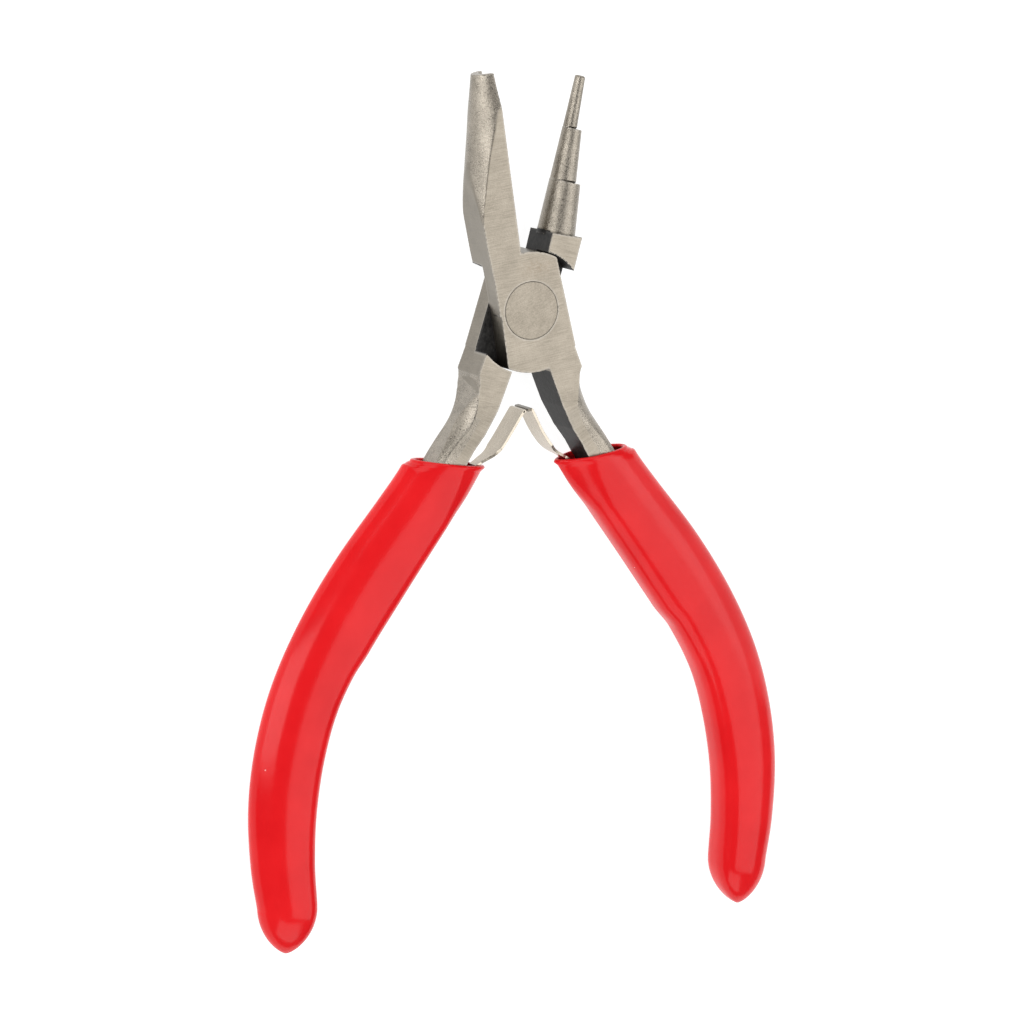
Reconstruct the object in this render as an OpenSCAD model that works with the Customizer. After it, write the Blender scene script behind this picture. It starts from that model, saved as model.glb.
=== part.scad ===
// Wire-looping pliers: a half-round hollow jaw faces a round jaw turned in three steps.
// X runs across the handles, Y towards the jaw tips, Z along the rivet, front face up.
// The origin is on the rivet's axis at the back face. The pose is the open one, held by the spring.

/* [Head] */
// Thickness of the head, over both lapped plates
head_t = 7.2; // [6.8:0.1:7.8]
// Gap between the two lapped plates
lap_gap = 0.1; // [0.06:0.02:0.2]
// Radius of the round boss on each half, towards the jaws
boss_r = 8.45; // [8.2:0.05:8.7]
// Radius of the same boss towards the handles
heel_r = 9; // [8.8:0.05:9.2]
// Gap between a boss and the other half's shoulder
shoulder_gap = 0.2; // [0.1:0.05:0.4]
// Distance from the rivet's axis to the straight side of the head next to the jaw
head_side = 5.2; // [4.8:0.1:5.6]
// Radius of the flush rivet
rivet_r = 4.2; // [3.6:0.1:4.6]
// Radial running clearance of the rivet in the stepped half
rivet_play = 0.03; // [0.02:0.01:0.08]

/* [Jaws] */
// Distance from the rivet's axis to the jaw tips
jaw_len = 34.5; // [32:0.5:38]
// Angle of the hollow jaw from the centre line, open
hollow_turn = 8.6; // [7:0.1:10]
// Angle of the stepped jaw from the centre line, open
stepped_turn = 14.5; // [13:0.1:16]
// Radius of the hollow jaw's round back at its tip
hollow_tip_r = 2.3; // [2:0.1:2.6]
// Growth of that radius for each millimetre towards the rivet
hollow_taper = 0.2; // [0.16:0.01:0.24]
// Depth of the groove along the hollow jaw
groove_depth = 1.2; // [1:0.1:1.4]
// Length of each step of the round jaw
step_len = 7.6; // [7:0.1:8]
// Radius of the thin end of each step, from the tip
step_thin = [0.75, 1.42, 2.28];
// Radius of the thick end of each step, from the tip
step_thick = [1.04, 1.94, 2.84];

/* [Handles] */
// Thickness of the shanks where they enter the sleeves
shank_t = 5.6; // [5:0.1:6]
// Thickness of the sleeves
sleeve_t = 7.2; // [6.8:0.1:7.8]
// Wall of the sleeves at their mouths
sleeve_wall = 0.8; // [0.6:0.1:1]

/* [Spring] */
// Width of the leaf strips
leaf_w = 4.4; // [4:0.2:5]
// Thickness of the leaf strips
leaf_t = 0.4; // [0.3:0.05:0.7]
// Gap between the two leaves where they meet
leaf_gap = 0.4; // [0.3:0.05:0.6]
// Offset of the place where they meet, from the pliers' middle
leaf_shift = 0.1; // [0:0.05:0.2]

/* [Hidden] */
$fn = 96;
eps = 0.02;
mid_z = head_t / 2;
face_x = -0.45;
groove_y = 11;
block_x = 0.4;
block_y = 11.5;
steel = [0.72, 0.68, 0.62];
red = [0.88, 0.2, 0.2];
bright = [0.8, 0.77, 0.72];

// Middle line of the right handle from the neck to the sleeve's end: x, y.
shank_line = [[5.6, -9], [7, -12], [9.1, -16.4], [12.3, -21.4], [18.2, -30], [24.2, -38],
              [29.7, -46], [33.9, -54], [37.5, -70], [37.1, -84]];
shank_half = [1.9, 2, 2, 2.45, 2.7, 2.8, 2.8, 2.7, 2.4, 1.9];
// Middle line of the right sleeve from mouth to end: x, y, then half its width.
sleeve_line = [[11.4, -21.7], [15, -26], [18.1, -30], [24.2, -38], [29.6, -46], [33.8, -54],
               [36.3, -62], [37.5, -70], [37.5, -78], [36.8, -84.5]];
sleeve_half = [5.9, 5.35, 5.4, 5.7, 5.6, 5.35, 5.2, 5, 4.65, 4.3];
mouth_angle = 8;
// Middle line of the right leaf, from the middle plane down into the sleeve's mouth.
leaf_line = [[0.2, -14.9], [2.3, -17.8], [3.6, -19.7], [4.7, -20.9], [6.4, -21.9], [7.3, -22.5]];

function mix(a, b, t) = a + (b - a) * t;
function ease(t) = let (u = min(1, max(0, t))) u * u * (3 - 2 * u);
// A point at place s on the smooth curve through the list's values.
function on_curve(v, s) =
    let (n = len(v) - 1, i = min(n - 1, max(0, floor(s))), t = s - i,
         b = v[i], c = v[i + 1],
         a = i > 0 ? v[i - 1] : 2 * b - c,
         d = i < n - 1 ? v[i + 2] : 2 * c - b)
    0.5 * (2 * b + (c - a) * t + (2 * a - 5 * b + 4 * c - d) * t * t
           + (3 * b - a - 3 * c + d) * t * t * t);
// Angle of the cross direction, square to the curve, at place s.
function cross_angle(v, s) =
    let (d = on_curve(v, s + 0.05) - on_curve(v, s - 0.05)) atan2(d[0], -d[1]);

// Closed solid through rings that have the same number of points.
module loft(rings) {
    n = len(rings[0]);
    m = len(rings);
    points = [for (ring = rings) each ring];
    walls = [for (i = [0:m - 2], k = [0:n - 1])
        let (a = i * n + k, b = i * n + (k + 1) % n)
        each [[a, b, a + n], [b, b + n, a + n]]];
    ends = [[for (k = [n - 1:-1:0]) k], [for (k = [0:n - 1]) (m - 1) * n + k]];
    polyhedron(points, concat(walls, ends), convexity = 6);
}

// Oval ring round a point, wide across the handle and high along Z.
function oval(centre, angle, wide, high, sides) =
    [for (k = [0:sides - 1]) let (f = -k * 360 / sides, w = wide * cos(f))
        [centre[0] + w * cos(angle), centre[1] + w * sin(angle), mid_z + high * sin(f)]];

// D-shaped ring: flat towards the middle plane of the pliers, half round outside.
function d_ring(centre, angle, wide, high, sides) =
    let (r = min(high, 2 * wide - 0.6), flat = wide - r)
    [for (k = [0:sides + 1]) let (
        f = 90 - (k - 1) * 180 / (sides - 1),
        w = k == 0 || k == sides + 1 ? -wide : flat + r * cos(f),
        h = k == 0 ? high : k == sides + 1 ? -high : high * sin(f))
        [centre[0] + w * cos(angle), centre[1] + w * sin(angle), mid_z + h]];

// Round cone between two points of the plane at mid thickness.
module taper(p, q, r_p, r_q) {
    d = q - p;
    translate([p[0], p[1], mid_z])
        rotate([90, 0, atan2(d[0], -d[1])])
            cylinder(h = norm(d), r1 = r_p, r2 = r_q);
}

// Shank and hidden tang of the right handle.
module shank() {
    last = len(shank_line) - 1;
    loft([for (s = [0:0.25:last])
        d_ring(on_curve(shank_line, s), cross_angle(shank_line, s), on_curve(shank_half, s),
               mix(shank_t / 2, shank_t / 2 - 0.6, ease((s - 3) / 6)), 10)]);
}

// Flat-sided neck of the right handle, between the boss and the shank.
module neck() {
    polygon([[0, -5], [3, -8.7], [4.1, -11.5], [5.2, -14.2], [7, -17.7], [8.2, -14.5],
             [7.9, -12.2], [8.25, -10.6], [8.3, -8.8], [6.4, -4], [3, -2]]);
}

// Outline of the hollow jaw and its root, with the jaw along Y.
module hollow_jaw_outline() {
    polygon([[face_x, jaw_len], [face_x, 0], [-4.8, 0], [-5, 6], [-5.4, 10], [-5.6, 14],
             [-5.6, 20], [-6, jaw_len]]);
}

// Outline of the stepped jaw's block and its root, with the jaw along Y.
module block_outline() {
    polygon([[block_x, block_y], [head_side + 0.1, block_y + 0.3], [head_side, 6],
             [head_side, 0], [block_x, 0]]);
}

// Disc round the rivet, larger towards the handles, with a gap added all round.
module heeled_disc(gap) {
    circle(r = boss_r + gap);
    intersection() {
        circle(r = heel_r + gap);
        translate([-15, -20]) square([30, 18]);
    }
}

// Boss between the head's straight sides. The side towards the handle flares downwards.
module boss_outline(flare_top, flare_low) {
    intersection() {
        heeled_disc(0);
        polygon([[-head_side + 0.4, -9.5], [-head_side + 0.4, 0], [-head_side, 9.5],
                 [flare_top, 9.5], [flare_low, -9.5]]);
    }
}

// Puts both sides of a half together: the plate level holds the boss, the other level clears it.
module half_body(plate_z, open_z) {
    translate([0, 0, plate_z])
        linear_extrude(mid_z - lap_gap / 2) { children(0); children(1); }
    translate([0, 0, open_z])
        linear_extrude(mid_z + lap_gap / 2 + eps) difference() {
            children(0);
            heeled_disc(shoulder_gap);
        }
}

module hollow_jaw_half() color(steel) difference() {
    union() {
        difference() {
            half_body(mid_z + lap_gap / 2, 0) {
                union() { rotate(hollow_turn) hollow_jaw_outline(); neck(); }
                rotate(hollow_turn) boss_outline(4.8, 6.5);
            }
            rotate(hollow_turn) round_back_waste();
        }
        shank();
    }
    rotate(hollow_turn) groove();
    translate([0, 0, -1]) cylinder(h = head_t + 2, r = rivet_r);
}

// What is cut off outside the cone of the hollow jaw's round back.
module round_back_waste() {
    low = 10;
    difference() {
        translate([-12, low, -2]) cube([12, jaw_len + 1 - low, head_t + 4]);
        taper([face_x, low - 1], [face_x, jaw_len + 2],
              hollow_tip_r + hollow_taper * (jaw_len - low + 1),
              hollow_tip_r - hollow_taper * 2);
    }
}

// Tapered groove that the round jaw closes into.
module groove() {
    tip_r = 1.5;
    root_r = 3.1;
    floor_x = face_x - groove_depth;
    taper([floor_x + root_r, groove_y], [floor_x + tip_r, jaw_len + 1], root_r, tip_r);
}

module stepped_jaw_half() color(steel) difference() {
    union() {
        half_body(0, mid_z - lap_gap / 2 - eps) {
            union() { rotate(-stepped_turn) block_outline(); mirror([1, 0]) neck(); }
            rotate(-stepped_turn) mirror([1, 0]) boss_outline(4.6, 5.6);
        }
        mirror([1, 0, 0]) shank();
        rotate(-stepped_turn) stepped_round();
    }
    translate([0, 0, -1]) cylinder(h = head_t + 2, r = rivet_r + rivet_play);
}

// Three tapered steps whose inner sides lie on one line through the rivet's axis.
module stepped_round() {
    for (i = [0:2]) {
        high = jaw_len - 0.2 - i * step_len;
        low = i == 2 ? block_y - 0.5 : high - step_len - 0.1;
        side = 0.05 * (2 - i);
        taper([side + step_thick[i], low], [side + step_thin[i], high],
              step_thick[i], step_thin[i]);
    }
}

module pivot_rivet() color(bright) cylinder(h = head_t, r = rivet_r - eps / 2);

// Sleeve of the right handle: shut at its end, flared at its mouth, tight on the tang.
module sleeve() {
    last = len(sleeve_line) - 1;
    sides = 24;
    high = sleeve_t / 2;
    cap_len = 7;
    pocket = 1.9;
    pocket_half = 2.9;
    difference() {
        loft(concat(
            [for (s = [0:0.25:last]) oval(on_curve(sleeve_line, s),
                mix(mouth_angle, cross_angle(sleeve_line, s), ease(s)),
                on_curve(sleeve_half, s), high, sides)],
            [for (c = [0.2, 0.4, 0.58, 0.74, 0.87, 0.96, 0.995]) let (k = pow(1 - c * c, 0.7))
                oval(sleeve_line[last] - [0, cap_len * c], 0, sleeve_half[last] * k, high * k,
                     sides)]));
        // Flared pocket at the mouth, which also holds the end of the spring leaf.
        loft([for (s = [-0.1:0.2:pocket]) let (t = ease(s / pocket)) oval(
            on_curve(sleeve_line, s) * (1 - t) + shank_at(s) * t,
            mix(mouth_angle, cross_angle(sleeve_line, s), ease(s)),
            mix(on_curve(sleeve_half, s) - sleeve_wall, pocket_half, t),
            high - sleeve_wall + 0.1, sides)]);
        tang_room();
    }
}

// Middle of the shank level with place s of the sleeve.
function shank_at(s) = on_curve(shank_line, 3 + s / 2);

// The tang's own shape with a skin of clearance.
module tang_room() {
    skin = 0.06;
    last = len(shank_line) - 1;
    loft([for (s = concat([for (s = [2.75:0.25:last]) s], [last + 0.02]))
        d_ring(on_curve(shank_line, s), cross_angle(shank_line, s), on_curve(shank_half, s) + skin,
               mix(shank_t / 2, shank_t / 2 - 0.6, ease((s - 3) / 6)) + skin, 10)]);
}

module left_sleeve() color(red) mirror([1, 0, 0]) sleeve();
module right_sleeve() color(red) sleeve();

// Strip of the right leaf: its middle line thickened to each side, narrower at the lower end.
module leaf_strip() {
    n = len(leaf_line) - 1;
    wide = leaf_w / 2;
    tail = 1.1;
    top_y = -14;
    narrow_y = -20;
    tail_y = -22;
    end_y = -24;
    reach = 12;
    function side(i, off) =
        let (a = leaf_line[max(0, i - 1)], b = leaf_line[min(n, i + 1)], d = (b - a) / norm(b - a))
        leaf_line[i] + off * [-d[1], d[0]];
    intersection() {
        linear_extrude(head_t)
            polygon(concat([for (i = [0:n]) side(i, leaf_t / 2)],
                           [for (i = [n:-1:0]) side(i, -leaf_t / 2)]));
        translate([0, 0, mid_z]) rotate([90, 0, 90]) linear_extrude(reach)
            polygon([[top_y, -wide], [top_y, wide], [narrow_y, wide], [tail_y, tail],
                     [end_y, tail], [end_y, -tail], [tail_y, -tail], [narrow_y, -wide]]);
    }
}

module right_spring_leaf() color(bright)
    translate([leaf_shift + leaf_gap / 2, 0, 0]) leaf_strip();
module left_spring_leaf() color(bright)
    translate([leaf_shift - leaf_gap / 2, 0, 0]) mirror([1, 0, 0]) leaf_strip();

hollow_jaw_half();
stepped_jaw_half();
pivot_rivet();
left_sleeve();
right_sleeve();
left_spring_leaf();
right_spring_leaf();
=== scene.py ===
"""Wire-looping pliers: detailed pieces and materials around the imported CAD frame.

Sizes are in millimetres, as in the part's source, and become metres when a mesh is made.
Each steel half is described by a signed distance field, which is then meshed with sharp edges.
"""

import math

import bpy
import numpy as np
from mathutils import Matrix, Vector


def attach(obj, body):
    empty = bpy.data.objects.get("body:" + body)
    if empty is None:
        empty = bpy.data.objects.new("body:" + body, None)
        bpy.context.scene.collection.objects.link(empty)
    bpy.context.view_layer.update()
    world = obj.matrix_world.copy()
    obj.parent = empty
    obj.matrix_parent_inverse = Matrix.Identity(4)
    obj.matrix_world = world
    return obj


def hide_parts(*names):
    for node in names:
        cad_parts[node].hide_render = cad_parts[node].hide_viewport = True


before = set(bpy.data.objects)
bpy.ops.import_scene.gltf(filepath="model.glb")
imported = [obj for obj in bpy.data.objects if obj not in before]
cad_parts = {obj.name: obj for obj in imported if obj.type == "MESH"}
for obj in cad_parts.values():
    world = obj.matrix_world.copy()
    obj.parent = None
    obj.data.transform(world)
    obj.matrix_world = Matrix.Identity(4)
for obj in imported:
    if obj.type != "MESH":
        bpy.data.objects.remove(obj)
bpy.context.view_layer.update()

MM = 0.001

# The head and the jaws, as in the part's source.
HEAD_T = 7.2
MID_Z = HEAD_T / 2
LAP_GAP = 0.1
BOSS_R = 8.45
HEEL_R = 9.0
SHOULDER_GAP = 0.2
# The plate's straight side below its jaw, how far up and down it is drawn, and its narrowing.
HEAD_SIDE = 5.2
HEAD_REACH = 9.5
HEAD_WAIST = 0.4
RIVET_R = 4.2
# The rivet's brush marks are turned by this angle from those of the plate.
RIVET_GRAIN_TURN = 25
JAW_LEN = 34.5
HOLLOW_TURN = 8.6
STEPPED_TURN = 14.5
FACE_X = -0.45
HOLLOW_TIP_R = 2.3
HOLLOW_TAPER = 0.2
JAW_SIDE_LEAN = 0.06
# The hollow jaw is a little thicker near its tip: where, over what length, and by what share.
JAW_SWELL_Y, JAW_SWELL_LEN, JAW_SWELL = 29.5, 2, 0.08
# The groove along the hollow jaw's face.
GROOVE_DEPTH = 1.2
GROOVE_Y = 11.0
GROOVE_WIDE, GROOVE_NARROWING = 3.1, 1.6
# The stepped jaw: its block, then the length and the radii of its steps, tip first.
BLOCK_X = 0.4
BLOCK_Y = 11.5
STEP_LEN = 7.6
STEP_THIN = (0.75, 1.42, 2.28)
STEP_THICK = (1.04, 1.94, 2.84)
# The turned groove at the foot of each step.
UNDERCUT, UNDERCUT_LEN = 0.1, 0.12

# Radii of the rounded edges, from the finest to the roundest; some serve in several places.
EDGE_FINE = 0.05
EDGE_HANDLE = 0.06
EDGE_RIVET_HOLE = 0.07
EDGE_SHOULDER = 0.08
EDGE_FLAT = 0.1
EDGE_FACE = 0.12
EDGE_END = 0.15
EDGE_BOSS = 0.2
EDGE_JAW = 0.25
EDGE_TIP = 0.3
EDGE_GROOVE_END = 0.5
EDGE_TANG_END = 0.8

# The handles: middle lines of the right one, and half widths along them.
SHANK_LINE = [(5.6, -9), (7, -12), (9.1, -16.4), (12.3, -21.4), (18.2, -30), (24.2, -38),
              (29.7, -46), (33.9, -54), (37.5, -70), (37.1, -84)]
SHANK_HALF = (1.9, 2, 2, 2.45, 2.7, 2.8, 2.8, 2.7, 2.4, 1.9)
SHANK_T = 5.6
# How far the shank's outline starts before its line does.
SHANK_BEFORE = 1.5
# The tang in the sleeve thins by this much, from one place on the line and over some more.
TANG_THINNING = 0.6
TANG_FROM, TANG_OVER = 3, 6
SLEEVE_LINE = [(11.4, -21.7), (15, -26), (18.1, -30), (24.2, -38), (29.6, -46), (33.8, -54),
               (36.3, -62), (37.5, -70), (37.5, -78), (36.8, -84.5)]
SLEEVE_HALF = (5.9, 5.35, 5.4, 5.7, 5.6, 5.35, 5.2, 5, 4.65, 4.3)
SLEEVE_T = 7.2
SLEEVE_WALL = 0.8
MOUTH_ANGLE = 8
CAP_LEN = 7
NECK = [(0, -5), (3, -8.7), (4.1, -11.5), (5.2, -14.2), (7.05, -17.7), (9.35, -20.95),
        (10.4, -19.2), (8.2, -14.5), (7.9, -12.2), (8.25, -10.6), (8.3, -8.8), (6.4, -4), (3, -2)]
# The forged skin of the handle grows towards the head: the half height of its round side and
# how far it stands outside the ground side fall away along the shank. Its front is a gently
# sloping flat that ends at a ridge.
HOLLOW_GROWTH, STEPPED_GROWTH = 11.0, 24.0
SKIN_FALL = 2.1
SKIN_ABOVE = 0.25
PROUD_GROWTH, PROUD_FALL = 2.0, 4.2
RIDGE_HIGH, RIDGE_LOW = -0.8, -0.3
RIDGE_FROM, RIDGE_OVER = 1.3, 1.7
FRONT_FROM, FRONT_OVER = 1.0, 2.0
FRONT_CLEAR = 0.02
# The ground facet on the outer side of the neck, and the slope of the side below it.
FACET_X, FACET_END, FACET_SLOPE = 8.3, -11.6, 0.62
# How much earlier the ground finish ends for each mm behind the front.
GROUND_RISE = 0.3

# The spring.
LEAF_LINE = [(0.2, -14.9), (2.3, -17.8), (3.6, -19.7), (4.7, -20.9), (6.4, -21.9), (7.3, -22.5)]
# The right leaf's top is bent over towards the left one, whose own top is curled a little.
LEAF_HOOK = [(0.28, -14.66), (0.66, -14.58), (1.08, -14.86)]
LEAF_CURL = [(0.1, -14.72), (0.36, -14.8), (0.62, -15.1)]
LEAF_W = 4.4
LEAF_T = 0.4
LEAF_EDGE = 0.02
LEAF_GAP = 0.4
LEAF_SHIFT = 0.1
LEAF_ROWS = 90
# Length of one step along the leaf's line, and how far its darker top reaches in such steps and how
# much painted shade darkens it.
LEAF_MM = 1.6
LEAF_TOP, LEAF_TOP_SHADE = 1.6, 0.7
LEAF_TAPER_Y = (14, 20, 22)
LEAF_TAPER = (LEAF_W / 2, LEAF_W / 2, 1.1)

# Which of a half's materials a face has.
ON_FLAT, ON_SIDE, ON_CAST, ON_BLACK = range(4)


# ---------------------------------------------------------------- curves and fields


def ease(t):
    t = np.clip(t, 0, 1)
    return t * t * (3 - 2 * t)


def on_curve(values, s):
    """Values at places s on the smooth curve through the list, as in the part's source."""
    v = np.asarray(values, float)
    n = len(v) - 1
    s = np.atleast_1d(np.asarray(s, float))
    i = np.clip(np.floor(s).astype(int), 0, n - 1)
    t = s - i
    if v.ndim == 2:
        t = t[:, None]
    b, c = v[i], v[i + 1]
    before, after = v[np.maximum(i - 1, 0)], v[np.minimum(i + 2, n)]
    first, last = i == 0, i == n - 1
    if v.ndim == 2:
        first, last = first[:, None], last[:, None]
    a = np.where(first, 2 * b - c, before)
    d = np.where(last, 2 * c - b, after)
    return 0.5 * (2 * b + (c - a) * t + (2 * a - 5 * b + 4 * c - d) * t * t
                  + (3 * b - a - 3 * c + d) * t ** 3)


def across(line, s):
    """Unit vectors square to the curve at places s, pointing away from the pliers' middle."""
    d = on_curve(line, np.asarray(s) + 0.05) - on_curve(line, np.asarray(s) - 0.05)
    d /= np.linalg.norm(d, axis=1)[:, None]
    return np.stack([-d[:, 1], d[:, 0]], 1)


def both(a, b, r):
    """Where two solids overlap; their common edge is rounded with radius r."""
    return (np.minimum(np.maximum(a, b), -r)
            + np.hypot(np.maximum(a + r, 0), np.maximum(b + r, 0)))


def polygon(x, y, points):
    """Signed distance to a closed outline, negative inside."""
    best, inside = np.inf, np.zeros(np.broadcast(x, y).shape, bool)
    for (ax, ay), (bx, by) in zip(points, points[1:] + points[:1]):
        ex, ey, px, py = bx - ax, by - ay, x - ax, y - ay
        t = np.clip((px * ex + py * ey) / (ex * ex + ey * ey), 0, 1)
        best = np.minimum(best, (px - t * ex) ** 2 + (py - t * ey) ** 2)
        if ey:
            inside = inside ^ (((ay > y) != (by > y)) & (px < ex * py / ey))
    return np.where(inside, -1, 1) * np.sqrt(best)


class Handle:
    """Place along the shank's middle line and distance to its side, looked up on a grid."""

    STEP = 0.2
    LOW = (-6.0, -96.0)
    COUNT = (260, 470)
    SAMPLES = 400
    BEFORE = 8

    def __init__(self):
        self.s = np.linspace(0, len(SHANK_LINE) - 1, self.SAMPLES)
        self.line = on_curve(SHANK_LINE, self.s)
        self.half = on_curve(SHANK_HALF, self.s)
        self.length = np.concatenate(
            [[0], np.cumsum(np.linalg.norm(np.diff(self.line, axis=0), axis=1))])
        gx = self.LOW[0] + self.STEP * np.arange(self.COUNT[0])[:, None]
        gy = self.LOW[1] + self.STEP * np.arange(self.COUNT[1])[None, :]
        best = np.full(self.COUNT, np.inf)
        self.table = np.zeros((3, *best.shape))
        # A straight piece before the line's start carries it on towards the head.
        first = self.line[1] - self.line[0]
        start = self.line[0] - self.BEFORE * first / np.linalg.norm(first)
        pts = np.concatenate([[start], self.line])
        s_all = np.concatenate([[0], self.s])
        run = np.concatenate([[-self.BEFORE], self.length])
        for k in range(len(pts) - 1):
            e = pts[k + 1] - pts[k]
            n = np.linalg.norm(e)
            px, py = gx - pts[k, 0], gy - pts[k, 1]
            t = (px * e[0] + py * e[1]) / n ** 2
            if k < len(pts) - 2:
                t = np.minimum(t, 1)
            t = np.maximum(t, 0) if k else t
            d = (px - t * e[0]) ** 2 + (py - t * e[1]) ** 2
            near = d < best
            best = np.where(near, d, best)
            place = s_all[k] + np.clip(t, 0, 1) * (s_all[k + 1] - s_all[k])
            side = (-px * e[1] + py * e[0]) / n
            along = run[k] + t * (run[k + 1] - run[k])
            for row, value in zip(self.table, (place, side, along)):
                row[near] = np.broadcast_to(value, near.shape)[near]

    def __call__(self, x, y):
        """(place on the line, distance outwards from it, length along it in mm)."""
        fx = np.clip((x - self.LOW[0]) / self.STEP, 0, self.COUNT[0] - 1.001)
        fy = np.clip((y - self.LOW[1]) / self.STEP, 0, self.COUNT[1] - 1.001)
        i, j = np.floor(fx).astype(int), np.floor(fy).astype(int)
        u, v = fx - i, fy - j
        return [(t[i, j] * (1 - u) + t[i + 1, j] * u) * (1 - v)
                + (t[i, j + 1] * (1 - u) + t[i + 1, j + 1] * u) * v for t in self.table]


HANDLE = Handle()


def turned(x, y, degrees):
    """(across, along) in the frame of a jaw turned from +Y by degrees."""
    c, s = math.cos(math.radians(degrees)), math.sin(math.radians(degrees))
    return x * c + y * s, y * c - x * s


def heel(x, y):
    """Distance outside the boss disc, which is larger towards the handles."""
    return np.hypot(x, y) - (BOSS_R + (HEEL_R - BOSS_R) * ease(-y / 5))


def facet(x, y):
    """Distance outside the ground facet of the neck and the straight side below it."""
    return x - FACET_X - FACET_SLOPE * np.maximum(FACET_END - y, 0)


def tang_half(s):
    """Half the thickness of the shank and the tang at place s."""
    return SHANK_T / 2 - TANG_THINNING * ease((s - TANG_FROM) / TANG_OVER)


def handle_parts(x, y, z, growth):
    """Fields of the handle's flat-sided outline and of its forged skin, half round outside.

    The skin flares towards the head, where the ground flats cut it, and shrinks to the tang.
    """
    s, w, run = HANDLE(x, y)
    half = np.interp(s, HANDLE.s, HANDLE.half)
    strip = both(np.abs(w) - half, -SHANK_BEFORE - run, EDGE_FINE)
    strip = both(strip, run - HANDLE.length[-1], EDGE_TANG_END)
    outline = np.minimum(strip, polygon(x, y, NECK))
    outline = np.maximum(outline, facet(x, y))
    tang = tang_half(s)
    high = tang + SKIN_ABOVE + growth * np.exp(-SKIN_FALL * s)
    ridge = RIDGE_HIGH + (RIDGE_LOW - RIDGE_HIGH) * ease((s - RIDGE_FROM) / RIDGE_OVER)
    wide = half - ridge + PROUD_GROWTH * np.exp(-PROUD_FALL * s)
    round_side = np.hypot(np.maximum(w - ridge, 0) / wide, (z - MID_Z) / high) - 1
    # The front slopes from just above the head's flats down to the tang.
    front = (tang + (HEAD_T / 2 + FRONT_CLEAR - tang) * (1 - ease((s - FRONT_FROM) / FRONT_OVER))
             + np.maximum(1 - s, 0))
    skin = both(round_side * np.minimum(wide, high), np.abs(z - MID_Z) - front, EDGE_FINE)
    return outline, skin


def handle_field(x, y, z, growth):
    """Neck, shank and tang: a flat-sided outline cut by a forged skin."""
    return both(*handle_parts(x, y, z, growth), EDGE_HANDLE)


def half_field(x, y, z, jaw, turn, flare_top, flare_low, growth):
    """A half with its plate at the front level: jaw, boss, neck and shank.

    flare_top and flare_low are how far the plate reaches on the side away from its jaw.
    """
    u, v = turned(x, y, turn)
    slab = np.maximum(-z, z - HEAD_T)
    side = HEAD_SIDE - HEAD_WAIST
    plate = polygon(u, v, [(-side, -HEAD_REACH), (-side, 0), (-HEAD_SIDE, HEAD_REACH),
                           (flare_top, HEAD_REACH), (flare_low, -HEAD_REACH)])
    boss = both(heel(x, y), plate, EDGE_BOSS)
    boss = np.maximum(boss, MID_Z + LAP_GAP / 2 - z)
    body = np.minimum(boss, jaw(u, v, z))
    body = np.minimum(body, handle_field(x, y, z, growth))
    body = both(body, slab, EDGE_FLAT)
    cleared = np.maximum(heel(x, y) - SHOULDER_GAP, z - MID_Z - LAP_GAP / 2)
    body = both(body, -cleared, EDGE_SHOULDER)
    return both(body, RIVET_R - np.hypot(x, y), EDGE_RIVET_HOLE)


def side_line(v):
    """Where the straight side of the hollow jaw's half lies, from heel to tip."""
    return np.interp(v, [-8, 0, 5, 9, 14, 20], [-4.78, -4.78, -4.95, -5.3, -5.58, -5.62])


def hollow_jaw(u, v, z):
    """Half of a cone with a straight ground side and a shallow groove along its face."""
    swell = 1 - JAW_SWELL * np.exp(-((v - JAW_SWELL_Y) / JAW_SWELL_LEN) ** 2)
    radius = HOLLOW_TIP_R + HOLLOW_TAPER * (JAW_LEN + 0.1 - v)
    cone = np.hypot(u - FACE_X, (z - MID_Z) * swell) - radius
    cone = cone / math.hypot(1, HOLLOW_TAPER)
    side = side_line(v) - JAW_SIDE_LEAN * (z - MID_Z) - u
    body = both(cone, side, EDGE_JAW)
    body = both(body, u - FACE_X, EDGE_FACE)
    body = both(body, v - JAW_LEN, EDGE_END)
    body = np.maximum(body, -v)
    r = GROOVE_WIDE - GROOVE_NARROWING * (v - GROOVE_Y) / (JAW_LEN + 1 - GROOVE_Y)
    groove = np.hypot(u - (FACE_X - GROOVE_DEPTH + r), z - MID_Z) - r
    groove = both(groove, GROOVE_Y - v, EDGE_GROOVE_END)
    return both(body, -groove, EDGE_FLAT)


def stepped_jaw(u, v, z):
    """In the mirrored frame: block and three tapered steps, on the side of negative u."""
    block = polygon(u, v, [(-BLOCK_X, BLOCK_Y), (-HEAD_SIDE - 0.1, BLOCK_Y + 0.3),
                           (-HEAD_SIDE, 6), (-HEAD_SIDE + 0.35, 0), (-BLOCK_X, 0)])
    body = both(block, np.maximum(-z, z - HEAD_T), EDGE_END)
    last = len(STEP_THIN) - 1
    for i, (thin, thick) in enumerate(zip(STEP_THIN, STEP_THICK)):
        high = JAW_LEN - 0.2 - i * STEP_LEN
        low = BLOCK_Y - 0.5 if i == last else high - STEP_LEN - 0.1
        r = thick + (thin - thick) * (v - low) / (high - low)
        if i < last:
            r = r - UNDERCUT * np.exp(-((v - low - UNDERCUT_LEN) / UNDERCUT_LEN) ** 2)
        cone = np.hypot(u + r, z - MID_Z) - r
        cone = both(cone, v - high, EDGE_TIP if i == 0 else EDGE_SHOULDER)
        body = np.minimum(body, np.maximum(cone, low - v))
    return body


# ---------------------------------------------------------------- meshing a field


GRADIENT_STEP = 0.01
TINY = 1e-12
CROSSING_STEPS = 4
CROSSING_MARGIN = 0.02
# Directions weaker than this share of the strongest one don't move a vertex.
FLATNESS = 0.08
# How far a vertex may leave its cell, as a share of the cell.
CELL_SLACK = 0.15
GRID_GROWTH = 1.25


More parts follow.
